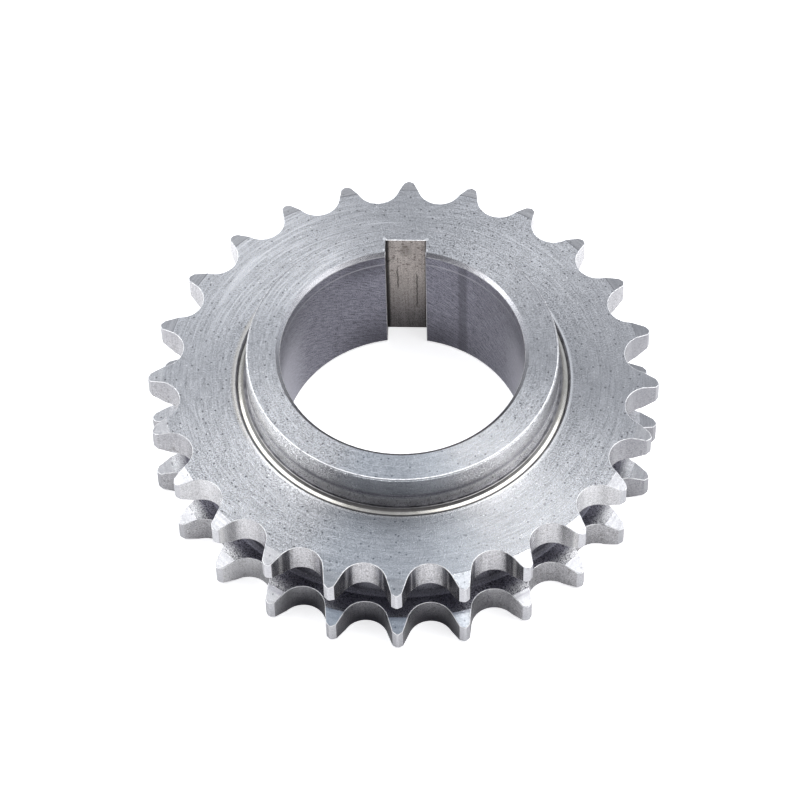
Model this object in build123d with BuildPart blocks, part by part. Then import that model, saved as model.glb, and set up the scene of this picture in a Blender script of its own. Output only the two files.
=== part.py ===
from build123d import *
from math import cos, hypot, pi, radians, sin
import os

# Sizes in millimetres. The origin is the middle of the bore at the rear face,
# +Z runs along the bore to the hub, and +Y points at the keyway.

# The chain that the teeth carry: two strands of 3/8 inch roller chain
CHAIN_PITCH = 9.525
ROLLER_DIAMETER = 6.35
ROW_PITCH = 10.24
LINK_PLATE_HEIGHT = 8.26

# Teeth
TEETH = 24
TOOTH_WIDTH = 5.1
TIP_ABOVE_PITCH = 1.4
TIP_CORNER = 0.45
SIDE_RELIEF_HEIGHT = 2.4
SIDE_RELIEF_DEPTH = 0.9
REAR_RELIEF_DEPTH = 0.6

# Neck between the two rows, turned clear of the link plates
PLATE_CLEARANCE = 0.55
NECK_CORNER = 0.6

# Hub, with a band at its foot that the finishing cut stops short of
HUB_DIAMETER = 46.0
HUB_HEIGHT = 6.5
HUB_EDGE = 0.2
BAND_STEP = 0.15
BAND_HEIGHT = 2.3
BAND_SLOPE = 0.5

# Round-bottomed groove that the turning tool leaves in the face round that band
FOOT_RELIEF_WIDTH = 1.75
FOOT_RELIEF_DEPTH = 0.26
FOOT_RELIEF_STEP = 0.25
FOOT_RELIEF_RADIUS = 1.5
FOOT_LIP_WIDTH = 0.43
FOOT_LIP_RISE = 0.35
FOOT_LIP_DROP = 0.19

# Bore and keyway
BORE_DIAMETER = 36.0
BORE_CHAMFER_WIDTH = 0.6
BORE_CHAMFER_HEIGHT = 0.45
KEYWAY_WIDTH = 6.0
KEYWAY_DEPTH = 2.6

# Radii and heights that follow from them
pitch_radius = CHAIN_PITCH / 2 / sin(pi / TEETH)
tip_radius = pitch_radius + TIP_ABOVE_PITCH
relief_radius = tip_radius - SIDE_RELIEF_HEIGHT
neck_radius = pitch_radius * cos(pi / TEETH) - LINK_PLATE_HEIGHT / 2 - PLATE_CLEARANCE
hub_radius = HUB_DIAMETER / 2
band_radius = hub_radius + BAND_STEP
bore_radius = BORE_DIAMETER / 2
face_height = ROW_PITCH + TOOTH_WIDTH
total_height = face_height + HUB_HEIGHT
gap_between_rows = ROW_PITCH - TOOTH_WIDTH

# Roller seat of the largest standard tooth gap, with a flank halfway between the largest
# and the smallest standard ones
seat_radius = 0.505 * ROLLER_DIAMETER + 0.069 * ROLLER_DIAMETER ** (1 / 3)
seat_half_angle = (130 - 90 / TEETH) / 2

os.makedirs("parts", exist_ok=True)


# Turned blank: half of its section, spun about the bore
with BuildPart() as sprocket:
    with BuildSketch(Plane.XZ) as section:
        with BuildLine():
            foot_radius = hub_radius + FOOT_RELIEF_WIDTH
            groove_start = (foot_radius - FOOT_RELIEF_STEP, face_height - FOOT_RELIEF_DEPTH)
            groove_end = (band_radius + FOOT_LIP_WIDTH, face_height + FOOT_LIP_RISE)
            Polyline(
                (bore_radius, BORE_CHAMFER_HEIGHT),
                (bore_radius + BORE_CHAMFER_WIDTH, 0),
                (relief_radius, 0),
                (tip_radius, REAR_RELIEF_DEPTH),
                (tip_radius, TOOTH_WIDTH - SIDE_RELIEF_DEPTH),
                (relief_radius, TOOTH_WIDTH),
                (neck_radius, TOOTH_WIDTH),
                (neck_radius, ROW_PITCH),
                (relief_radius, ROW_PITCH),
                (tip_radius, ROW_PITCH + SIDE_RELIEF_DEPTH),
                (tip_radius, face_height - SIDE_RELIEF_DEPTH),
                (relief_radius, face_height),
                (foot_radius, face_height),
                groove_start,
            )
            RadiusArc(groove_start, groove_end, FOOT_RELIEF_RADIUS)
            Polyline(
                groove_end,
                (band_radius, face_height + FOOT_LIP_RISE - FOOT_LIP_DROP),
                (band_radius, face_height + BAND_HEIGHT),
                (hub_radius, face_height + BAND_HEIGHT + BAND_SLOPE),
                (hub_radius, total_height),
                (bore_radius + BORE_CHAMFER_WIDTH, total_height),
                (bore_radius, total_height - BORE_CHAMFER_HEIGHT),
                (bore_radius, BORE_CHAMFER_HEIGHT),
            )
        make_face()
        neck_corners = section.vertices().filter_by(lambda v: abs(v.X - neck_radius) < 1e-6)
        chamfer(neck_corners, min(NECK_CORNER, 0.45 * gap_between_rows))
        hub_corner = section.vertices().filter_by(lambda v: abs(v.X - hub_radius) < 1e-6).sort_by(Axis.Y)[-1]
        chamfer(hub_corner, HUB_EDGE)
    revolve(axis=Axis.Z)

    # One gap between two teeth: a round roller seat and a straight flank tangent to it
    # on each side, carried past the tip circle
    with BuildSketch() as tooth_gap:
        with BuildLine():
            flank_length = 2 * (tip_radius - pitch_radius + seat_radius)
            seat_start = (seat_radius * sin(radians(seat_half_angle)), -seat_radius * cos(radians(seat_half_angle)))
            flank_turn = (cos(radians(seat_half_angle)), sin(radians(seat_half_angle)))
            flank_end = (
                seat_start[0] + flank_length * flank_turn[0],
                seat_start[1] + flank_length * flank_turn[1],
            )
            ThreePointArc((-seat_start[0], seat_start[1]), (0, -seat_radius), seat_start)
            Polyline(seat_start, flank_end, (-flank_end[0], flank_end[1]), (-seat_start[0], seat_start[1]))
        make_face()

    # Outline of all the teeth, with the corners of each tip broken, cut down through the blank
    with BuildSketch() as teeth:
        Circle(tip_radius)
        with PolarLocations(pitch_radius, TEETH, start_angle=90 + 180 / TEETH):
            add(tooth_gap.sketch, rotation=-90, mode=Mode.SUBTRACT)
        tip_corners = teeth.vertices().filter_by(lambda v: abs(hypot(v.X, v.Y) - tip_radius) < 1e-6)
        chamfer(tip_corners, TIP_CORNER)
    extrude(amount=total_height, mode=Mode.INTERSECT)

    # Square keyway, open at both ends of the bore
    with BuildSketch():
        with Locations((0, bore_radius / 2)):
            Rectangle(KEYWAY_WIDTH, bore_radius + 2 * KEYWAY_DEPTH)
    extrude(amount=total_height, mode=Mode.SUBTRACT)

sprocket.part.label = "sprocket"
export_step(sprocket.part, "parts/sprocket.step")
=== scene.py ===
import math

import bmesh
import bpy
from mathutils import Matrix, Vector


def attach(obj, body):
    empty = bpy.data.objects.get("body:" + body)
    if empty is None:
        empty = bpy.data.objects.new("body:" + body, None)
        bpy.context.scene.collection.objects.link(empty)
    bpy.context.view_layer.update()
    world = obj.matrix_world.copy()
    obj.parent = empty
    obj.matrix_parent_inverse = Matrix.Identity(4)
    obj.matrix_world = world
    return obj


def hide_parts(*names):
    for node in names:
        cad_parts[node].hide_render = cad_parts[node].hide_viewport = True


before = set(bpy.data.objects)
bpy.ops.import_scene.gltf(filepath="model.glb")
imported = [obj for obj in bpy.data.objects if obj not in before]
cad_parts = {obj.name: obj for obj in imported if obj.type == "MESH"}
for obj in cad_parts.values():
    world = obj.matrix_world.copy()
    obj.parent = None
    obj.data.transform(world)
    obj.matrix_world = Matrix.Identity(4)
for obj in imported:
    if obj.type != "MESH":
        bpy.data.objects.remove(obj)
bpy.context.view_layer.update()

scene = bpy.context.scene


# The sprocket is one piece of carbon steel: faced, bored and grooved on a lathe, cut with two rows
# of teeth, then broached for its key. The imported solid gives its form. A deburring tool has broken
# its outer edges, and its inner corners and shallow edges stay as the cutters left them.
MM = 0.001
EDGE_BREAK = 0.13 * MM
SAME_POINT = 0.001 * MM
FLAT = math.radians(0.3)
SHARP = math.radians(12)
BROKEN = math.radians(38)
MARK_DEPTH = 0.02 * MM

steel = bmesh.new()
steel.from_mesh(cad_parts["sprocket"].data)
bmesh.ops.remove_doubles(steel, verts=steel.verts, dist=SAME_POINT)
bmesh.ops.dissolve_limit(steel, angle_limit=FLAT, verts=steel.verts, edges=steel.edges)
for face in steel.faces:
    face.smooth = True
for edge in steel.edges:
    edge.smooth = edge.calc_face_angle(0) < SHARP
broken = bmesh.ops.bevel(
    steel,
    geom=[edge for edge in steel.edges if edge.calc_face_angle_signed(0) > BROKEN],
    offset=EDGE_BREAK,
    offset_type="OFFSET",
    segments=2,
    profile=0.5,
    affect="EDGES",
    material=-1,
    clamp_overlap=True,
)
worn_faces = set(broken["faces"])
for face in worn_faces:
    face.smooth = True
steel_mesh = bpy.data.meshes.new("sprocket_steel")
sprocket = bpy.data.objects.new("sprocket_steel", steel_mesh)
scene.collection.objects.link(sprocket)


def linear(hex_code):
    """An sRGB hex colour as linear RGBA."""
    channels = [int(hex_code[at:at + 2], 16) / 255 for at in (1, 3, 5)]
    return [c / 12.92 if c <= 0.04045 else ((c + 0.055) / 1.055) ** 2.4 for c in channels] + [1.0]


def add(tree, kind, settings, links):
    """Adds a node, sets its properties and sockets, and links its inputs to earlier outputs."""
    node = tree.nodes.new(kind)
    for name, value in settings.items():
        if isinstance(name, str) and hasattr(node, name):
            setattr(node, name, value)
        else:
            node.inputs[name].default_value = value
    for name, source in links.items():
        tree.links.new(source, node.inputs[name])
    return node


def bare_steel(name, roughness):
    """A steel material without its pattern: its nodes, its shader and each point's place in mm."""
    material = bpy.data.materials.new(name)
    material.use_nodes = True
    tree = material.node_tree
    tree.nodes.clear()
    shader = add(tree, "ShaderNodeBsdfPrincipled", {"Metallic": 1.0, "Roughness": roughness}, {})
    add(tree, "ShaderNodeOutputMaterial", {}, {"Surface": shader.outputs["BSDF"]})
    metres = add(tree, "ShaderNodeTexCoord", {}, {}).outputs["Object"]
    place = add(tree, "ShaderNodeVectorMath", {"operation": "SCALE", "Scale": 1 / MM}, {0: metres})
    steel_mesh.materials.append(material)
    return tree, shader, place.outputs[0]


def about_bore(place):
    """How far a place is from the bore's axis, and on which side of it."""
    flat = add(tree, "ShaderNodeVectorMath", {"operation": "MULTIPLY", 1: (1, 1, 0)}, {0: place}).outputs[0]
    reach = add(tree, "ShaderNodeVectorMath", {"operation": "LENGTH"}, {0: flat}).outputs["Value"]
    side = add(tree, "ShaderNodeVectorMath", {"operation": "NORMALIZE"}, {0: flat}).outputs[0]
    return reach, side


# Faces left by the lathe tool: satin, with fine rings round the bore that stretch each highlight
# across them, so that the flat faces shine in wedges. A few arcs near the hub are deeper. Painted
# shade darkens the channel between the rows and the hub's wall, and painted highlights and shade
# by side trim the glints on the faces and the tips.

# Real rings, grain, pits and nicks are too fine to show here, so all are drawn coarser. The edge
# and core of a pit or a nick are shares of its spacing.
FEED = 0.34
FINE_FEED = 0.24
DEEP_FEED = 0.42
GLINT_FEED = 0.3
SPECKLE = 0.18
MOTTLE = 1.1
DEEP_FROM = 29.4
DEEP_TO = 32.4
PIT_SPACING = 2.4
PIT_EDGE = 0.075
PIT_CORE = 0.04
NICK_SPACING = 3.4
NICK_EDGE = 0.045
NICK_CORE = 0.02
RELIEF_EDGE = 35.49
GROOVE_EDGE = 24.98
CHANNEL_FLOOR = 4.0
CHANNEL_ROOF = 10.3
SHADE_THINS = 35.4
SHADE_THICK = 33.4
FACE = 15.34
WALL_LINE = 17.9
WALL_TOP = 21.55
BURR_OFF_MIDDLE = 3.2
BURR_AT_FLOOR = 20.8
BURR_AT_MOUTH = 18.75

tree, shader, place = bare_steel("turned_steel", 0.32)
radius, outward = about_bore(place)
height = add(tree, "ShaderNodeSeparateXYZ", {}, {0: place}).outputs["Z"]
feed = add(tree, "ShaderNodeMath", {"operation": "ADD"}, {0: radius, 1: height}).outputs[0]
feed_line = add(tree, "ShaderNodeCombineXYZ", {}, {"Z": feed}).outputs[0]


def rings(pitch, spread):
    """Streaks round the bore, one every pitch millimetres, each about 1 / spread radians long."""
    lines = add(tree, "ShaderNodeVectorMath", {"operation": "SCALE", "Scale": 1 / pitch}, {0: feed_line})
    turn = add(tree, "ShaderNodeVectorMath", {"operation": "SCALE", "Scale": spread}, {0: outward})
    both = add(tree, "ShaderNodeVectorMath", {"operation": "ADD"}, {0: lines.outputs[0], 1: turn.outputs[0]})
    noise = add(tree, "ShaderNodeTexNoise", {"Scale": 1.0, "Detail": 1.0}, {"Vector": both.outputs[0]})
    return noise.outputs[0]


def toward(x, y, none, full, most):
    """How nearly a point's side of the sprocket is the side of x, y: 0 at none, and most at full."""
    along = add(tree, "ShaderNodeVectorMath", {"operation": "DOT_PRODUCT", 1: (x, y, 0)}, {0: outward})
    amount = add(tree, "ShaderNodeMapRange", {1: none, 2: full, 4: most}, {0: along.outputs["Value"]})
    return amount.outputs[0]


def near(value, centre, none, full, most):
    """How near a value is to a centre: 0 at the distance none, and most within the distance full."""
    off = add(tree, "ShaderNodeMath", {"operation": "SUBTRACT", 1: centre}, {0: value}).outputs[0]
    off = add(tree, "ShaderNodeMath", {"operation": "ABSOLUTE"}, {0: off}).outputs[0]
    return add(tree, "ShaderNodeMapRange", {1: none, 2: full, 4: most}, {0: off}).outputs[0]


def stained(clean, colour, cover, *limits):
    """A colour with a stain over it, where its cover and all its limits are above 0."""
    for limit in limits:
        cover = add(tree, "ShaderNodeMath", {"operation": "MULTIPLY"}, {0: cover, 1: limit}).outputs[0]
    both = {0: cover, 6: clean}
    return add(tree, "ShaderNodeMix", {"data_type": "RGBA", 7: linear(colour)}, both).outputs[2]


coarse = rings(FEED, 5.0)
fine = rings(FINE_FEED, 10.0)
deep = rings(DEEP_FEED, 2.2)
grain = add(tree, "ShaderNodeTexNoise", {"Scale": 1 / SPECKLE, "Detail": 1.0}, {"Vector": place}).outputs[0]
speckle = add(tree, "ShaderNodeMapRange", {1: 0.38, 2: 0.62}, {0: grain}).outputs[0]
sides = add(tree, "ShaderNodeSeparateXYZ", {}, {0: outward})
facing = sides.outputs["Y"]
# Painted sparkle: the speckle is evened off the diagonals, so it shows most where the softboxes glint, and it
# is calmer on the tips.
diagonal = add(
    tree, "ShaderNodeMath", {"operation": "MULTIPLY"}, {0: sides.outputs["X"], 1: facing}
).outputs[0]
diagonal = add(tree, "ShaderNodeMath", {"operation": "ABSOLUTE"}, {0: diagonal}).outputs[0]
evener = add(tree, "ShaderNodeMapRange", {1: 0.1, 2: 0.4, 3: 0.5, 4: 0.0}, {0: diagonal}).outputs[0]
on_tip = add(
    tree, "ShaderNodeMapRange", {1: RELIEF_EDGE - 0.1, 2: RELIEF_EDGE + 0.1}, {0: radius}
).outputs[0]
smoother = add(tree, "ShaderNodeMath", {"operation": "MULTIPLY", 1: 0.7}, {0: on_tip}).outputs[0]
smoother = add(tree, "ShaderNodeMath", {"operation": "MAXIMUM"}, {0: smoother, 1: evener}).outputs[0]
speckle = add(tree, "ShaderNodeMix", {"data_type": "FLOAT", 3: 0.5}, {0: smoother, 2: speckle}).outputs[0]
mottle = add(tree, "ShaderNodeTexNoise", {"Scale": 1 / MOTTLE, "Detail": 2.0}, {"Vector": place}).outputs[0]
arcs = add(tree, "ShaderNodeMapRange", {1: 0.56, 2: 0.72}, {0: deep}).outputs[0]
near_hub = add(tree, "ShaderNodeMapRange", {1: DEEP_TO, 2: DEEP_FROM}, {0: radius}).outputs[0]
beyond_hub = add(tree, "ShaderNodeMapRange", {1: DEEP_FROM - 1.5, 2: DEEP_FROM}, {0: radius}).outputs[0]
keyway_side = add(tree, "ShaderNodeMapRange", {1: 0.1, 2: 0.4}, {0: facing}).outputs[0]
for limit in (near_hub, beyond_hub, keyway_side):
    arcs = add(tree, "ShaderNodeMath", {"operation": "MULTIPLY"}, {0: arcs, 1: limit}).outputs[0]
rise = add(tree, "ShaderNodeMath", {"operation": "MULTIPLY_ADD", 1: 0.6}, {0: coarse, 2: fine}).outputs[0]
rise = add(tree, "ShaderNodeMath", {"operation": "MULTIPLY_ADD", 1: 0.6}, {0: arcs, 2: rise}).outputs[0]
relief = add(tree, "ShaderNodeMath", {"operation": "MULTIPLY_ADD", 1: 0.5}, {0: rise, 2: grain}).outputs[0]
bump = add(
    tree, "ShaderNodeBump", {"Strength": 1.0, "Distance": 1.1 * MARK_DEPTH}, {"Height": relief}
).outputs[0]
tone = add(tree, "ShaderNodeMath", {"operation": "MULTIPLY_ADD", 1: 1.4}, {0: speckle, 2: rise}).outputs[0]
tone = add(tree, "ShaderNodeMath", {"operation": "MULTIPLY_ADD", 1: 0.15}, {0: mottle, 2: tone}).outputs[0]
tone = add(tree, "ShaderNodeMapRange", {1: 0.75, 2: 2.35}, {0: tone}).outputs[0]
colour = add(
    tree, "ShaderNodeMix", {"data_type": "RGBA", 6: linear("#8B8C8F"), 7: linear("#F6F6F7")}, {0: tone}
).outputs[2]
sheen = add(tree, "ShaderNodeMapRange", {3: 0.46, 4: 0.19}, {0: speckle}).outputs[0]
tree.links.new(sheen, shader.inputs["Roughness"])
pits = add(
    tree, "ShaderNodeTexVoronoi", {"voronoi_dimensions": "2D", "Scale": 1 / PIT_SPACING}, {"Vector": place}
).outputs["Distance"]
nicks = add(
    tree, "ShaderNodeTexVoronoi", {"voronoi_dimensions": "2D", "Scale": 1 / NICK_SPACING}, {"Vector": place}
).outputs["Distance"]
upright = add(tree, "ShaderNodeTexCoord", {}, {}).outputs["Normal"]
upright = add(tree, "ShaderNodeSeparateXYZ", {}, {0: upright}).outputs["Z"]
on_face = add(tree, "ShaderNodeMapRange", {1: 0.5, 2: 0.8}, {0: upright}).outputs[0]
colour = stained(colour, "#55565A", near(pits, 0.0, PIT_EDGE, PIT_CORE, 0.8), on_face)
colour = stained(colour, "#FAFAFA", near(nicks, 0.0, NICK_EDGE, NICK_CORE, 0.9), on_face)
# Painted highlight: light rings on the back left, where the rings glint.
ring_glints = add(
    tree, "ShaderNodeMapRange", {1: 0.5, 2: 0.65, 3: 0.1, 4: 0.55}, {0: rings(GLINT_FEED, 2.0)}
).outputs[0]
colour = stained(colour, "#FAFAFB", toward(-0.73, 0.68, 0.75, 0.95, 1.0), ring_glints)
# Painted shade and painted highlight, by side: darker to the right and at the back, lighter at the front
# right, darker on the tips to the left, the back, the front left and the front right, and a painted bluish
# reflection at the front.
colour = stained(colour, "#88888C", toward(0.98, 0.19, 0.8, 0.97, 0.3))
colour = stained(colour, "#FFFFFF", toward(0.5, -0.87, 0.9, 0.99, 0.25))
colour = stained(colour, "#77777B", toward(-0.974, -0.225, 0.975, 0.99, 0.6), on_tip)
colour = stained(colour, "#88888C", on_tip, toward(0.0, 1.0, 0.0, 0.3, 0.4))
colour = stained(colour, "#77777B", on_tip, toward(0.79, -0.61, 0.75, 0.95, 0.52))
colour = stained(colour, "#77777B", on_tip, toward(-0.64, -0.77, 0.85, 0.98, 0.52))
colour = stained(colour, "#88888C", toward(-0.17, 0.985, 0.93, 0.985, 0.14))
colour = stained(colour, "#A9C8E0", toward(0.0, -1.0, 0.9, 0.97, 0.12))
colour = stained(colour, "#55565A", near(radius, RELIEF_EDGE, 0.12, 0.05, 0.5), keyway_side)
# Painted highlight along the groove's outer edge, and a cream tint beside it on the left.
colour = stained(colour, "#FFFFFF", near(radius, GROOVE_EDGE, 0.28, 0.1, 0.7))
cream_tint = near(radius, GROOVE_EDGE, 0.6, 0.2, 0.3)
colour = stained(colour, "#E2D3B4", cream_tint, toward(-1.0, 0.05, 0.8, 0.95, 1.0))
corner = add(tree, "ShaderNodeVectorMath", {"operation": "MULTIPLY", 1: (1, 1, 0)}, {0: place}).outputs[0]
corner = add(tree, "ShaderNodeVectorMath", {"operation": "ABSOLUTE"}, {0: corner}).outputs[0]
for burr_radius, spot_size in ((BURR_AT_FLOOR, 0.35), (BURR_AT_MOUTH, 0.28)):
    burr_place = (BURR_OFF_MIDDLE, burr_radius, 0)
    burr = add(
        tree, "ShaderNodeVectorMath", {"operation": "DISTANCE", 1: burr_place}, {0: corner}
    ).outputs["Value"]
    burr = add(tree, "ShaderNodeMapRange", {1: spot_size, 2: 0.5 * spot_size}, {0: burr}).outputs[0]
    colour = stained(colour, "#FFFFFF", burr, keyway_side)

# Painted shade in the channel between the rows, lighter on its floor, streaked with the rings and thinning
# out towards the tips and the sides.
in_channel = add(
    tree, "ShaderNodeMapRange", {1: CHANNEL_FLOOR - 1, 2: CHANNEL_FLOOR}, {0: height}
).outputs[0]
under_roof = add(
    tree, "ShaderNodeMapRange", {1: CHANNEL_ROOF + 0.6, 2: CHANNEL_ROOF}, {0: height}
).outputs[0]
on_floor = add(
    tree, "ShaderNodeMapRange", {1: CHANNEL_FLOOR + 1.4, 2: CHANNEL_FLOOR + 1.2}, {0: height}
).outputs[0]
streaked = add(
    tree, "ShaderNodeMath", {"operation": "MULTIPLY_ADD", 1: 3.0}, {0: rings(FEED, 4.0), 2: radius}
).outputs[0]
ahead = add(tree, "ShaderNodeMath", {"operation": "ABSOLUTE"}, {0: facing}).outputs[0]
streaked = add(
    tree, "ShaderNodeMath", {"operation": "MULTIPLY_ADD", 1: -2.5}, {0: ahead, 2: streaked}
).outputs[0]
deep_in = add(tree, "ShaderNodeMapRange", {1: SHADE_THINS, 2: SHADE_THICK, 4: 0.9}, {0: streaked}).outputs[0]
colour = stained(colour, "#5F5E67", deep_in, in_channel, under_roof)
colour = stained(colour, "#83828C", deep_in, in_channel, under_roof, on_floor)
# Painted shade on the lower tips to the front left and front right, and a painted bluish reflection on those
# in front.
low_tip = (on_tip, in_channel, on_floor)
colour = stained(colour, "#77777B", toward(-0.87, -0.5, 0.97, 0.995, 0.3), *low_tip)
colour = stained(colour, "#77777B", toward(0.6, -0.8, 0.93, 0.98, 0.3), *low_tip)
colour = stained(colour, "#9FC3E6", toward(-0.09, -0.996, 0.92, 0.975, 0.16), *low_tip)
# Painted highlights on the lower teeth's reliefs to the front left and front right, inside their edge.
shoulder = near(radius, RELIEF_EDGE - 0.3, 1.8, 0.2, 0.7)
inside_edge = add(
    tree, "ShaderNodeMapRange", {1: RELIEF_EDGE, 2: RELIEF_EDGE - 0.2}, {0: radius}
).outputs[0]
for side in (-0.87, 0.87):
    side_glint = toward(side, -0.5, 0.7, 0.9, 1.0)
    colour = stained(colour, "#FFFFFF", side_glint, shoulder, inside_edge, in_channel, on_floor)

# Painted shade on the hub's wall, a little all round and most to the front, with a dark line across it and
# darker to the right above that line; a painted highlight below the line.
on_wall = add(tree, "ShaderNodeMapRange", {1: FACE + 0.1, 2: FACE + 0.15}, {0: height}).outputs[0]
under_top = add(tree, "ShaderNodeMapRange", {1: WALL_TOP, 2: WALL_TOP - 0.1}, {0: height}).outputs[0]
wall_front = add(tree, "ShaderNodeMapRange", {1: -0.75, 2: -0.95, 4: 0.34}, {0: facing}).outputs[0]
wall_shade = add(tree, "ShaderNodeMath", {"operation": "ADD", 1: 0.08}, {0: wall_front}).outputs[0]
wall_line = near(height, WALL_LINE, 0.5, 0.05, 0.5)
wall_shade = add(tree, "ShaderNodeMath", {"operation": "ADD"}, {0: wall_shade, 1: wall_line}).outputs[0]
low_wall = add(
    tree, "ShaderNodeMapRange", {1: WALL_LINE, 2: WALL_LINE - 0.5, 4: 0.9}, {0: height}
).outputs[0]
colour = stained(colour, "#F6F6F7", low_wall, on_wall)
colour = stained(colour, "#55535B", wall_shade, on_wall, under_top)
high_wall = add(tree, "ShaderNodeMapRange", {1: WALL_LINE, 2: WALL_LINE + 0.4}, {0: height}).outputs[0]
colour = stained(colour, "#55535B", toward(1.0, 0.0, 0.1, 0.55, 0.33), high_wall, under_top)
tangent = add(
    tree, "ShaderNodeVectorMath", {"operation": "CROSS_PRODUCT", 0: (0, 0, 1)}, {1: outward}
).outputs[0]
tree.links.new(colour, shader.inputs["Base Color"])
tree.links.new(bump, shader.inputs["Normal"])
tree.links.new(tangent, shader.inputs["Tangent"])
shader.inputs["Anisotropic"].default_value = 0.8
shader.inputs["Anisotropic Rotation"].default_value = 0.25


# Tooth gaps and flanks left by the hob, which is a rolling cutter: smooth, a little speckled, with
# faint lines that run with the bore. Towards the front, painted shade darkens facets at both ends
# of each gap. Painted shade darkens the lower row towards the front and the seats to the sides,
# and painted highlights brighten some seats.

# The lines and the grain, here and in the bore and the keyway, are drawn coarser than real ones.
HOB_LINE = 0.3
HOB_LINE_LENGTH = 5.0
HOB_SPOTS_PER_MM = 2.4
GRAIN = 0.16
TOOTH_ANGLE = math.radians(15)
GAP_RADIUS = 34.5
FACET_FROM = 1.7
ROW_MIDDLE = 7.7
LOWER_ROW_TOP = 5.2
FACET_FULL = 10.0
SIDE_SHADE_FROM = 10.5
SIDE_SHADE_FULL = 15.0
LOWER_ROW_SHADE_FROM = 4.8
LOWER_ROW_SHADE_FULL = 1.0

tree, shader, place = bare_steel("hobbed_steel", 0.27)
stretch = (1 / HOB_LINE, 1 / HOB_LINE, 1 / HOB_LINE_LENGTH)
stretched = add(tree, "ShaderNodeVectorMath", {"operation": "MULTIPLY", 1: stretch}, {0: place}).outputs[0]
lines = add(tree, "ShaderNodeTexNoise", {"Scale": 1.0, "Detail": 2.0}, {"Vector": stretched}).outputs[0]
grain = add(tree, "ShaderNodeTexNoise", {"Scale": 1 / GRAIN, "Detail": 2.0}, {"Vector": place}).outputs[0]
rise = add(tree, "ShaderNodeMath", {"operation": "MULTIPLY_ADD", 1: 0.25}, {0: lines, 2: grain}).outputs[0]
bump = add(tree, "ShaderNodeBump", {"Strength": 1.0, "Distance": MARK_DEPTH}, {"Height": rise}).outputs[0]
tone = add(tree, "ShaderNodeMapRange", {1: 0.45, 2: 0.8}, {0: rise}).outputs[0]
colour = add(
    tree, "ShaderNodeMix", {"data_type": "RGBA", 6: linear("#8F8E92"), 7: linear("#D0CFD1")}, {0: tone}
).outputs[2]
spots = add(
    tree, "ShaderNodeTexNoise", {"Scale": HOB_SPOTS_PER_MM, "Detail": 2.0}, {"Vector": place}
).outputs[0]
spots = add(tree, "ShaderNodeMapRange", {1: 0.56, 2: 0.68, 4: 0.55}, {0: spots}).outputs[0]
colour = stained(colour, "#6F6C68", spots)
split = add(tree, "ShaderNodeSeparateXYZ", {}, {0: place})
heading = add(
    tree, "ShaderNodeMath", {"operation": "ARCTAN2"}, {0: split.outputs["X"], 1: split.outputs["Y"]}
).outputs[0]
turn = add(tree, "ShaderNodeMath", {"operation": "FLOORED_MODULO", 1: TOOTH_ANGLE}, {0: heading}).outputs[0]
across_gap = add(tree, "ShaderNodeMath", {"operation": "MULTIPLY", 1: GAP_RADIUS}, {0: turn}).outputs[0]
middle = GAP_RADIUS * TOOTH_ANGLE / 2
_, outward = about_bore(place)
sides = add(tree, "ShaderNodeSeparateXYZ", {}, {0: outward})
facing = sides.outputs["Y"]
front = add(tree, "ShaderNodeMapRange", {1: -0.55, 2: -0.85}, {0: facing}).outputs[0]
streaks = add(tree, "ShaderNodeMapRange", {1: 0.4, 2: 0.6, 3: 0.85, 4: 0.5}, {0: lines}).outputs[0]
sideways = sides.outputs["X"]
off_middle = add(tree, "ShaderNodeMath", {"operation": "SUBTRACT", 1: middle}, {0: across_gap}).outputs[0]
off_middle = add(tree, "ShaderNodeMath", {"operation": "MULTIPLY_ADD", 1: 0.6}, {0: sideways, 2: off_middle})
off_middle = add(tree, "ShaderNodeMath", {"operation": "ABSOLUTE"}, {0: off_middle.outputs[0]}).outputs[0]
sideways = add(tree, "ShaderNodeMath", {"operation": "ABSOLUTE"}, {0: sideways}).outputs[0]
off_middle = add(
    tree, "ShaderNodeMath", {"operation": "MULTIPLY_ADD", 1: -1.2}, {0: sideways, 2: off_middle}
).outputs[0]
# Painted shade on the facets at both ends of each gap towards the front, with a painted highlight along their
# edge.
facet = add(tree, "ShaderNodeMapRange", {1: FACET_FROM, 2: FACET_FROM + 0.15}, {0: off_middle}).outputs[0]
high = add(tree, "ShaderNodeMapRange", {1: LOWER_ROW_TOP, 2: FACET_FULL}, {0: split.outputs["Z"]}).outputs[0]
colour = stained(colour, "#4B4A50", facet, front, high, streaks)
ridge = near(off_middle, FACET_FROM + 0.7, 0.16, 0.06, 0.75)
colour = stained(colour, "#E4E2E0", ridge, front, high)
# Painted shade on the seats that face the sides, most high up, and on those to the right.
side_shade = add(tree, "ShaderNodeMapRange", {1: 0.8, 2: 0.97, 4: 0.45}, {0: sideways}).outputs[0]
side_height = add(
    tree, "ShaderNodeMapRange", {1: SIDE_SHADE_FROM, 2: SIDE_SHADE_FULL, 3: 0.3}, {0: split.outputs["Z"]}
).outputs[0]
colour = stained(colour, "#7C7C82", side_shade, side_height)
colour = stained(colour, "#7C7C82", toward(1.0, 0.0, 0.85, 0.97, 0.5))
upper_row = add(
    tree, "ShaderNodeMapRange", {1: ROW_MIDDLE, 2: ROW_MIDDLE + 0.1}, {0: split.outputs["Z"]}
).outputs[0]
lower_row = add(
    tree, "ShaderNodeMapRange", {1: ROW_MIDDLE, 2: ROW_MIDDLE - 0.1}, {0: split.outputs["Z"]}
).outputs[0]
# Painted highlights on some seats to the front left and front right.
for x, y, glint_row in ((-0.79, -0.61, upper_row), (0.79, -0.61, upper_row), (-0.61, -0.79, lower_row)):
    colour = stained(colour, "#FFFFFF", toward(x, y, 0.96, 0.995, 0.25), glint_row)
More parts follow.
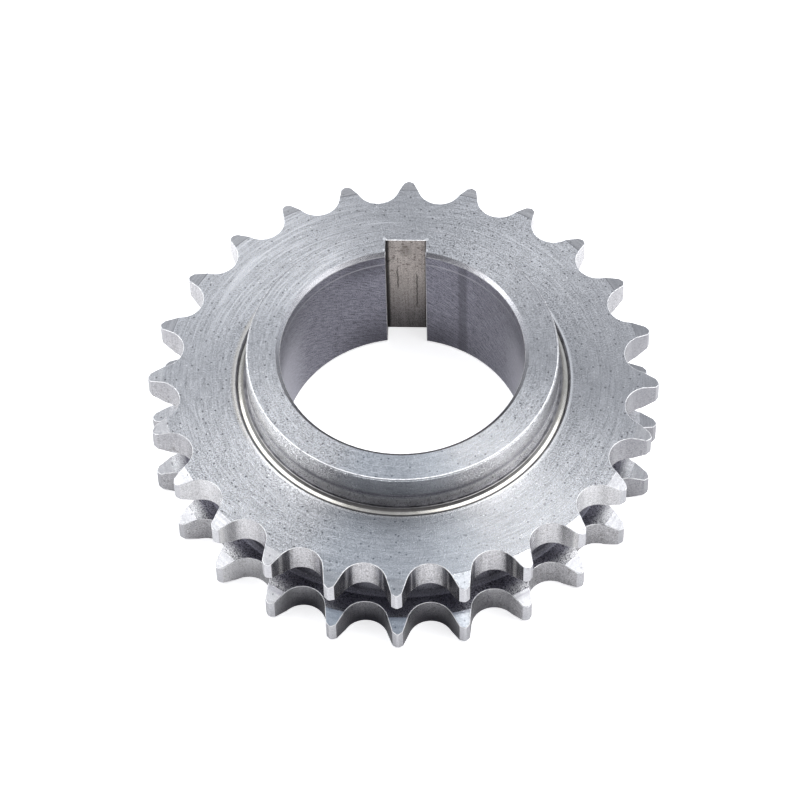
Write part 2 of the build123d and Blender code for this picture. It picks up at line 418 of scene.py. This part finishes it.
# Painted shade on the lower row towards the front, darker towards its foot.
foremost = toward(-0.08, -0.997, 0.84, 0.94, 1.0)
low = add(
    tree, "ShaderNodeMapRange", {1: LOWER_ROW_SHADE_FROM, 2: LOWER_ROW_SHADE_FULL, 3: 0.3, 4: 0.85}, {0: split.outputs["Z"]}
).outputs[0]
on_lower_row = add(
    tree, "ShaderNodeMapRange", {1: LOWER_ROW_TOP + 0.4, 2: LOWER_ROW_TOP}, {0: split.outputs["Z"]}
).outputs[0]
colour = stained(colour, "#3C3B44", low, on_lower_row, foremost)
tree.links.new(colour, shader.inputs["Base Color"])
tree.links.new(bump, shader.inputs["Normal"])


# Narrow lands on the tips of the teeth, left from the turned blank that the hob cut into: pale
# and matt, with painted shade on the teeth to each side.
tree, shader, place = bare_steel("turned_land_steel", 0.42)
grain = add(tree, "ShaderNodeTexNoise", {"Scale": 1 / GRAIN, "Detail": 2.0}, {"Vector": place}).outputs[0]
bump = add(tree, "ShaderNodeBump", {"Strength": 1.0, "Distance": MARK_DEPTH}, {"Height": grain}).outputs[0]
tone = add(tree, "ShaderNodeMapRange", {1: 0.3, 2: 0.7}, {0: grain}).outputs[0]
colour = add(
    tree, "ShaderNodeMix", {"data_type": "RGBA", 6: linear("#A8A8AC"), 7: linear("#CACACD")}, {0: tone}
).outputs[2]
_, outward = about_bore(place)
# Painted shade on the lands to each side.
for side in (-1.0, 1.0):
    colour = stained(colour, "#77777B", toward(side, 0.0, 0.8, 0.93, 0.45))
tree.links.new(colour, shader.inputs["Base Color"])
tree.links.new(bump, shader.inputs["Normal"])


# Wall of the bore: a finer boring cut, its colour darkened as painted shade inside the bore. Its
# marks wind up the wall at a slant. One darker stripe runs down it, and the tool's last turn shows
# as a light arc under the mouth. Painted shade darkens it low by the key and high to its left,
# and painted highlights lighten it low on the left and the right.
BORE_RADIUS = 18.0
BORE_LINE = 0.22
BORE_LINE_LENGTH = 1.6
BORE_LINE_SLANT = math.radians(32)
STRIPE_HEADING = math.radians(61.5)
STRIPE_HALF_WIDTH = math.radians(3.2)
LAST_TURN_HEIGHT = 19.6
KEY_HEADING = math.pi / 2
UPPER_SHADE_HEADING = math.radians(110)
BORE_SHADE_FROM = 9.0
BORE_SHADE_FULL = 2.0
UPPER_SHADE_FROM = 16.0
UPPER_SHADE_FULL = 19.0
GLEAM_FROM = 17.0
GLEAM_FULL = 12.0

tree, shader, place = bare_steel("bored_steel", 0.36)
split = add(tree, "ShaderNodeSeparateXYZ", {}, {0: place})
heading = add(
    tree, "ShaderNodeMath", {"operation": "ARCTAN2"}, {0: split.outputs["Y"], 1: split.outputs["X"]}
).outputs[0]
round_way = add(tree, "ShaderNodeMath", {"operation": "MULTIPLY", 1: BORE_RADIUS}, {0: heading}).outputs[0]
unrolled = add(tree, "ShaderNodeCombineXYZ", {}, {"X": round_way, "Y": split.outputs["Z"]}).outputs[0]
mark_size = (BORE_LINE_LENGTH, BORE_LINE, 1)
slanted = add(
    tree, "ShaderNodeMapping",
    {"vector_type": "TEXTURE", "Rotation": (0, 0, BORE_LINE_SLANT), "Scale": mark_size},
    {"Vector": unrolled},
).outputs[0]
lines = add(tree, "ShaderNodeTexNoise", {"Scale": 1.0, "Detail": 2.0}, {"Vector": slanted}).outputs[0]
grain = add(tree, "ShaderNodeTexNoise", {"Scale": 1 / GRAIN, "Detail": 1.0}, {"Vector": place}).outputs[0]
rise = add(tree, "ShaderNodeMath", {"operation": "ADD"}, {0: lines, 1: grain}).outputs[0]
bump = add(tree, "ShaderNodeBump", {"Strength": 1.0, "Distance": MARK_DEPTH}, {"Height": rise}).outputs[0]
tone = add(tree, "ShaderNodeMapRange", {1: 0.7, 2: 1.3}, {0: rise}).outputs[0]
# Painted shade: the wall's colour is dark because it lies inside the bore.
wall = add(
    tree, "ShaderNodeMix", {"data_type": "RGBA", 6: linear("#5A5963"), 7: linear("#A9A8B4")}, {0: tone}
).outputs[2]
_, outward = about_bore(place)
# Painted shade: darker low down by the key and high up to the left of it.
low = add(
    tree, "ShaderNodeMapRange", {1: BORE_SHADE_FROM, 2: BORE_SHADE_FULL}, {0: split.outputs["Z"]}
).outputs[0]
wall = stained(wall, "#4A4952", near(heading, KEY_HEADING, 0.7, 0.3, 0.6), low)
left_of_key = near(heading, UPPER_SHADE_HEADING, 0.25, 0.1, 0.5)
high = add(tree, "ShaderNodeMapRange", {1: UPPER_SHADE_FROM, 2: UPPER_SHADE_FULL}, {0: split.outputs["Z"]}).outputs[0]
wall = stained(wall, "#4A4952", left_of_key, high)
# Painted highlights: lighter low down to the left and to the right.
not_high = add(tree, "ShaderNodeMapRange", {1: GLEAM_FROM, 2: GLEAM_FULL}, {0: split.outputs["Z"]}).outputs[0]
wall = stained(wall, "#C8C7D0", toward(-1.0, 0.0, 0.82, 0.995, 0.65), not_high)
wall = stained(wall, "#C8C7D0", toward(1.0, 0.09, 0.87, 0.995, 0.5), not_high)
stripe = near(heading, STRIPE_HEADING, STRIPE_HALF_WIDTH, 0.5 * STRIPE_HALF_WIDTH, 0.55)
wall = stained(wall, "#55545D", stripe)
wall = stained(wall, "#DAD9DE", near(split.outputs["Z"], LAST_TURN_HEIGHT, 0.2, 0.08, 0.35))
tree.links.new(wall, shader.inputs["Base Color"])
tree.links.new(bump, shader.inputs["Normal"])


# Keyway, cut by a broach pulled along the bore: lines from end to end, two of them drawn dark by
# a chip, brownish and darker towards the bottom, with dried spots near the mouth. Painted shade
# darkens its corners.
BROACH_LINE = 0.28
BROACH_LINE_LENGTH = 9.0
SPOT = 0.4
WANDERS_PER_MM = 0.6
KEYWAY_CORNER = 3.0
DARKENS_FROM = 14.0
DARKENS_FULL = 3.0
SPOTS_FROM = 11.0
SPOTS_FULL = 15.0
MOUTH_STAIN = 19.5

# Where each dark line lies across the floor, and the heights of its two ends
DARK_LINES = ((-1.1, 9.5, 15.5), (1.8, 5.0, 14.0))

tree, shader, place = bare_steel("broached_steel", 0.4)
stretch = (1 / BROACH_LINE, 1 / BROACH_LINE, 1 / BROACH_LINE_LENGTH)
stretched = add(tree, "ShaderNodeVectorMath", {"operation": "MULTIPLY", 1: stretch}, {0: place}).outputs[0]
lines = add(tree, "ShaderNodeTexNoise", {"Scale": 1.0, "Detail": 2.0}, {"Vector": stretched}).outputs[0]
grain = add(tree, "ShaderNodeTexNoise", {"Scale": 1 / GRAIN, "Detail": 1.0}, {"Vector": place}).outputs[0]
rise = add(tree, "ShaderNodeMath", {"operation": "MULTIPLY_ADD", 1: 0.5}, {0: lines, 2: grain}).outputs[0]
bump = add(tree, "ShaderNodeBump", {"Strength": 1.0, "Distance": MARK_DEPTH}, {"Height": rise}).outputs[0]
tone = add(tree, "ShaderNodeMapRange", {1: 0.55, 2: 0.95}, {0: rise}).outputs[0]
clean = add(
    tree, "ShaderNodeMix", {"data_type": "RGBA", 6: linear("#A09791"), 7: linear("#DAD2CC")}, {0: tone}
).outputs[2]
lower_tone = add(
    tree, "ShaderNodeMix", {"data_type": "RGBA", 6: linear("#625E5D"), 7: linear("#989393")}, {0: tone}
).outputs[2]
split = add(tree, "ShaderNodeSeparateXYZ", {}, {0: place})
height = split.outputs["Z"]
towards_bottom = add(tree, "ShaderNodeMapRange", {1: DARKENS_FROM, 2: DARKENS_FULL}, {0: height}).outputs[0]
colour = add(tree, "ShaderNodeMix", {"data_type": "RGBA"}, {0: towards_bottom, 6: clean, 7: lower_tone}).outputs[2]
spots = add(tree, "ShaderNodeTexNoise", {"Scale": 1 / SPOT, "Detail": 2.0}, {"Vector": place}).outputs[0]
spots = add(tree, "ShaderNodeMapRange", {1: 0.55, 2: 0.66, 4: 0.7}, {0: spots}).outputs[0]
near_mouth = add(tree, "ShaderNodeMapRange", {1: SPOTS_FROM, 2: SPOTS_FULL}, {0: height}).outputs[0]
colour = stained(colour, "#5E534C", spots, near_mouth)
off_middle = split.outputs["X"]
colour = stained(
    colour, "#6E665F", near(off_middle, 0.0, 1.2, 0.4, 0.5), near(height, MOUTH_STAIN, 2.0, 0.8, 1.0)
)
along = add(tree, "ShaderNodeCombineXYZ", {}, {"Z": height}).outputs[0]
wander = add(
    tree, "ShaderNodeTexNoise", {"Scale": WANDERS_PER_MM, "Detail": 1.0}, {"Vector": along}
).outputs[0]
wandering = add(
    tree, "ShaderNodeMath", {"operation": "MULTIPLY_ADD", 1: 0.5}, {0: wander, 2: off_middle}
).outputs[0]
for across_floor, low_end, high_end in DARK_LINES:
    drawn = near(wandering, across_floor, 0.16, 0.06, 0.75)
    half_length = (high_end - low_end) / 2
    length = near(height, (low_end + high_end) / 2, half_length, half_length - 1, 1.0)
    colour = stained(colour, "#3C3836", drawn, length)
# Painted shade in both corners, wider and darker on the left.
corner = add(tree, "ShaderNodeMath", {"operation": "ABSOLUTE"}, {0: off_middle}).outputs[0]
colour = stained(colour, "#343234", near(corner, KEYWAY_CORNER, 0.3, 0.05, 0.8))
colour = stained(colour, "#343234", near(off_middle, -KEYWAY_CORNER, 0.5, 0.3, 0.8))
tree.links.new(colour, shader.inputs["Base Color"])
tree.links.new(bump, shader.inputs["Normal"])


# Edges, broken by the deburring tool, rubbed pale and painted brighter still as a highlight, so
# they show as pale lines. Round the back of the hub painted shade makes them duller.
RUB_SPACING = 0.625
HUB_RADIUS = 23.0

tree, shader, place = bare_steel("worn_and_glinting_edge_steel", 0.55)
nicks = add(
    tree, "ShaderNodeTexNoise", {"Scale": 1 / RUB_SPACING, "Detail": 2.0}, {"Vector": place}
).outputs[0]
tone = add(tree, "ShaderNodeMapRange", {1: 0.3, 2: 0.5}, {0: nicks}).outputs[0]
# Painted highlight: the edges' pale colour, partly real wear.
colour = add(
    tree, "ShaderNodeMix", {"data_type": "RGBA", 6: linear("#C6C6CA"), 7: linear("#FFFFFF")}, {0: tone}
).outputs[2]
radius, outward = about_bore(place)
on_hub_edge = near(radius, HUB_RADIUS, 0.5, 0.4, 1.0)
# Painted shade: duller round the back of the hub.
colour = stained(colour, "#8E8E93", toward(0.0, 1.0, -0.1, 0.3, 0.9), on_hub_edge)
tree.links.new(colour, shader.inputs["Base Color"])


# Groove round the foot of the hub, burnished by the round nose of the turning tool. Painted shade
# darkens it on the hub's side and at the step on its outer side.
CLOUDS_PER_MM = 0.9
HUB_SHADE_TO = 24.1
HUB_SHADE_FROM = 23.6
STEP_SHADE_FROM = 24.32
STEP_SHADE_FULL = 24.42

tree, shader, place = bare_steel("burnished_steel", 0.24)
clouds = add(
    tree, "ShaderNodeTexNoise", {"Scale": CLOUDS_PER_MM, "Detail": 3.0}, {"Vector": place}
).outputs[0]
tone = add(tree, "ShaderNodeMapRange", {1: 0.3, 2: 0.6}, {0: clouds}).outputs[0]
colour = add(
    tree, "ShaderNodeMix", {"data_type": "RGBA", 6: linear("#C2BFB6"), 7: linear("#D2CFC8")}, {0: tone}
).outputs[2]
radius, _ = about_bore(place)
# Painted shade on the hub's side of the groove.
hub_side_shade = add(tree, "ShaderNodeMapRange", {1: HUB_SHADE_TO, 2: HUB_SHADE_FROM, 4: 0.7}, {0: radius}).outputs[0]
colour = stained(colour, "#5C5B5E", hub_side_shade)
# Painted shade at the step on the groove's outer side.
step_shade = add(
    tree, "ShaderNodeMapRange", {1: STEP_SHADE_FROM, 2: STEP_SHADE_FULL, 4: 0.9}, {0: radius}
).outputs[0]
colour = stained(colour, "#343335", step_shade)
tree.links.new(colour, shader.inputs["Base Color"])


# Corners that the tools leave, darkened as painted shade: the step on the outer side of that
# groove and the ledge under the hub's wall.
BLOTCHES_PER_MM = 0.7

tree, shader, place = bare_steel("shaded_corner_steel", 0.35)
blotches = add(
    tree, "ShaderNodeTexNoise", {"Scale": BLOTCHES_PER_MM, "Detail": 3.0}, {"Vector": place}
).outputs[0]
tone = add(tree, "ShaderNodeMapRange", {1: 0.35, 2: 0.65}, {0: blotches}).outputs[0]
# Painted shade: a dark colour all over, with random blotches.
colour = add(
    tree, "ShaderNodeMix", {"data_type": "RGBA", 6: linear("#6E6D70"), 7: linear("#9A999C")}, {0: tone}
).outputs[2]
tree.links.new(colour, shader.inputs["Base Color"])


# Chamfers at the mouths of the bore, cut last by a fine tool, so brighter and smoother than the
# bore's wall, with painted shade at the back on the left and on both sides towards the front.
tree, shader, place = bare_steel("chamfered_steel", 0.26)
grain = add(tree, "ShaderNodeTexNoise", {"Scale": 1 / GRAIN, "Detail": 2.0}, {"Vector": place}).outputs[0]
tone = add(tree, "ShaderNodeMapRange", {1: 0.35, 2: 0.65}, {0: grain}).outputs[0]
colour = add(
    tree, "ShaderNodeMix", {"data_type": "RGBA", 6: linear("#A2A2A6"), 7: linear("#CACACD")}, {0: tone}
).outputs[2]
_, outward = about_bore(place)
# Painted shade at the back on the left and on both sides towards the front.
for x, y in ((-0.71, 0.71), (-0.94, -0.34), (0.94, -0.34)):
    colour = stained(colour, "#5C5C60", toward(x, y, 0.9, 0.97, 0.5))
tree.links.new(colour, shader.inputs["Base Color"])


# The finishes on the steel piece. Each tool's faces are told apart by how far they stand from the
# bore's axis, how high they lie and which way they face, and the piece then rides as one body.
UPRIGHT = 0.1
LEVEL = 0.95
BORE_WALL = 18.2 * MM
BORE_CHAMFER = 18.6 * MM
KEYWAY_HALF = 3.1 * MM
KEYWAY_FLOOR = 20.5 * MM
KEYWAY_END = 21.0 * MM
LEDGE_FROM = 23.1 * MM
GROOVE_FROM = 23.55 * MM
GROOVE_STEP = 24.55 * MM
GROOVE_TO = 24.8 * MM
GROOVE_BOTTOM = 15.0 * MM
GROOVE_TOP = 15.75 * MM
HUB_EDGE_FROM = 22.5 * MM
HUB_EDGE_UNDER = 21.75 * MM
TOOTH_ROOT = 33.0 * MM
LAND = 37.5 * MM
slots = {material.name: index for index, material in enumerate(steel_mesh.materials)}
for face in steel.faces:
    centre = face.calc_center_median()
    reach = math.hypot(centre.x, centre.y)
    standing = abs(face.normal.z) < UPRIGHT
    in_groove = GROOVE_BOTTOM < centre.z < GROOVE_TOP and abs(face.normal.z) > UPRIGHT
    finish = "turned_steel"
    if in_groove and LEDGE_FROM < reach < GROOVE_TO:
        finish = "burnished_steel"
        if reach < GROOVE_FROM or reach > GROOVE_STEP:
            finish = "shaded_corner_steel"
    elif face in worn_faces and abs(centre.x) < KEYWAY_HALF and BORE_WALL < centre.y < KEYWAY_FLOOR:
        finish = "broached_steel"
    elif face in worn_faces:
        on_hub_edge = HUB_EDGE_FROM < reach < GROOVE_FROM
        if not on_hub_edge or centre.z > HUB_EDGE_UNDER:
            finish = "worn_and_glinting_edge_steel"
    elif standing and reach < BORE_WALL:
        finish = "bored_steel"
    elif not standing and reach < BORE_CHAMFER and abs(face.normal.z) < LEVEL:
        finish = "chamfered_steel"
    elif standing and abs(centre.x) < KEYWAY_HALF and 0 < centre.y < KEYWAY_END:
        finish = "broached_steel"
    elif standing and reach > LAND:
        finish = "turned_land_steel"
    elif standing and reach > TOOTH_ROOT:
        finish = "hobbed_steel"
    face.material_index = slots[finish]
steel.to_mesh(steel_mesh)
steel.free()
weighted = sprocket.modifiers.new("even_shading", "WEIGHTED_NORMAL")
weighted.weight = 50
weighted.keep_sharp = True
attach(sprocket, "root")
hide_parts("sprocket")


# A sheet of matt white paper under the sprocket. It is lifted to white where the camera or a
# reflection sees it, and in reflections a painted shadow darkens it close to the sprocket, most
# of all in front.
SHEET_HALF = 3.0
SHEET_UNDER = 0.02 * MM
NEAR_SHADE = 30 * MM
SHADE_FROM = 34 * MM
SHADE_TO = 41 * MM

floor_mesh = bpy.data.meshes.new("floor")
floor = bpy.data.objects.new("floor", floor_mesh)
scene.collection.objects.link(floor)
sheet = bmesh.new()
bmesh.ops.create_grid(sheet, x_segments=1, y_segments=1, size=SHEET_HALF)
bmesh.ops.translate(sheet, verts=sheet.verts, vec=(0, 0, -SHEET_UNDER))
sheet.to_mesh(floor_mesh)
sheet.free()
paper = bpy.data.materials.new("white_paper")
paper.use_nodes = True
tree = paper.node_tree
tree.nodes.clear()
ray = add(tree, "ShaderNodeLightPath", {}, {})
mirrored = add(
    tree, "ShaderNodeMath", {"operation": "MAXIMUM"},
    {0: ray.outputs["Is Glossy Ray"], 1: ray.outputs["Is Transmission Ray"]},
).outputs[0]
# Painted shadow, seen only in reflections: darker close to the sprocket, and most in front.
shade = add(tree, "ShaderNodeAmbientOcclusion", {"samples": 8, "Distance": NEAR_SHADE}, {}).outputs["AO"]
shade = add(tree, "ShaderNodeMath", {"operation": "POWER", 1: 1.5}, {0: shade}).outputs[0]
metres = add(tree, "ShaderNodeTexCoord", {}, {}).outputs["Object"]
away, outward = about_bore(metres)
ahead = add(tree, "ShaderNodeVectorMath", {"operation": "DOT_PRODUCT", 1: (-0.05, -1.0, 0)}, {0: outward})
front = add(tree, "ShaderNodeMapRange", {1: 0.84, 2: 0.93}, {0: ahead.outputs["Value"]}).outputs[0]
clear = add(tree, "ShaderNodeMapRange", {1: SHADE_FROM, 2: SHADE_TO, 3: 0.1}, {0: away}).outputs[0]
clear = add(tree, "ShaderNodeMath", {"operation": "POWER", 1: 2.0}, {0: clear}).outputs[0]
fade = add(tree, "ShaderNodeMix", {"data_type": "FLOAT", 2: 1.0}, {0: front, 3: clear}).outputs[0]
shade = add(tree, "ShaderNodeMath", {"operation": "MULTIPLY"}, {0: shade, 1: fade}).outputs[0]
mirrored = add(tree, "ShaderNodeMath", {"operation": "MULTIPLY"}, {0: mirrored, 1: shade}).outputs[0]
by_camera = ray.outputs["Is Camera Ray"]
seen = add(tree, "ShaderNodeMath", {"operation": "ADD"}, {0: by_camera, 1: mirrored}).outputs[0]
lift = add(tree, "ShaderNodeMath", {"operation": "MULTIPLY", 1: 0.68}, {0: seen}).outputs[0]
white = add(tree, "ShaderNodeEmission", {"Color": (1, 1, 1, 1)}, {"Strength": lift}).outputs[0]
matt = add(tree, "ShaderNodeBsdfDiffuse", {"Color": linear("#F8F8F8")}, {}).outputs[0]
both = add(tree, "ShaderNodeAddShader", {}, {0: matt, 1: white}).outputs[0]
add(tree, "ShaderNodeOutputMaterial", {}, {"Surface": both})
floor_mesh.materials.append(paper)


# The studio: pale grey walls and ceiling, lighter at the horizon and dark on the camera's side,
# and two large softboxes, one to each side.
world = bpy.data.worlds.new("studio")
scene.world = world
world.use_nodes = True
tree = world.node_tree
tree.nodes.clear()
direction = add(tree, "ShaderNodeTexCoord", {}, {}).outputs["Generated"]
split = add(tree, "ShaderNodeSeparateXYZ", {}, {0: direction})
upward = add(tree, "ShaderNodeMapRange", {1: 0.0, 2: 0.35}, {0: split.outputs["Z"]}).outputs[0]
forward = add(tree, "ShaderNodeMapRange", {1: 0.05, 2: -0.55}, {0: split.outputs["Y"]}).outputs[0]
walls = add(
    tree, "ShaderNodeMix", {"data_type": "RGBA", 6: linear("#F6F7FA"), 7: linear("#CCD0D8")}, {0: upward}
).outputs[2]
room = add(
    tree, "ShaderNodeMix", {"data_type": "RGBA", 7: linear("#78787E")}, {0: forward, 6: walls}
).outputs[2]
light = add(tree, "ShaderNodeBackground", {"Strength": 1.0}, {"Color": room}).outputs[0]
add(tree, "ShaderNodeOutputWorld", {}, {"Surface": light})


def softbox(name, place, width, height, radiance):
    """A flat rectangular lamp at a place in metres, turned to face the sprocket."""
    lamp = bpy.data.lights.new(name, "AREA")
    lamp.shape = "RECTANGLE"
    lamp.size = width
    lamp.size_y = height
    lamp.energy = radiance * math.pi * width * height
    holder = bpy.data.objects.new(name, lamp)
    holder.location = place
    holder.rotation_euler = Vector(place).to_track_quat("Z", "Y").to_euler()
    scene.collection.objects.link(holder)


softbox("softbox_left", (-0.48, 0.08, 0.632), 0.60, 0.56, 2.6)
softbox("softbox_right", (0.416, -0.016, 0.684), 0.60, 0.62, 3.2)


# The camera stands in front of the sprocket and looks down on it. Its place, turn and lens are
# the ones that bring the outlines of the solid onto those of the photograph.
AZIMUTH = math.radians(2.721)
ELEVATION = math.radians(54.391)
ROLL = math.radians(-1.536)
DISTANCE = 540.99 * MM
AIM = Vector((-0.391, -2.769, 13.372)) * MM
LENS = 164.55
turn = (
    Matrix.Rotation(AZIMUTH, 4, "Z")
    @ Matrix.Rotation(math.pi / 2 - ELEVATION, 4, "X")
    @ Matrix.Rotation(ROLL, 4, "Z")
)
camera_data = bpy.data.cameras.new("camera")
camera_data.lens = LENS
camera_data.sensor_width = 36.0
camera_data.clip_start = 0.01
camera_data.clip_end = 20.0
camera = bpy.data.objects.new("camera", camera_data)
camera.matrix_world = Matrix.Translation(AIM + turn.to_3x3() @ Vector((0, 0, DISTANCE))) @ turn
scene.collection.objects.link(camera)
scene.camera = camera
scene.view_settings.view_transform = "Standard"
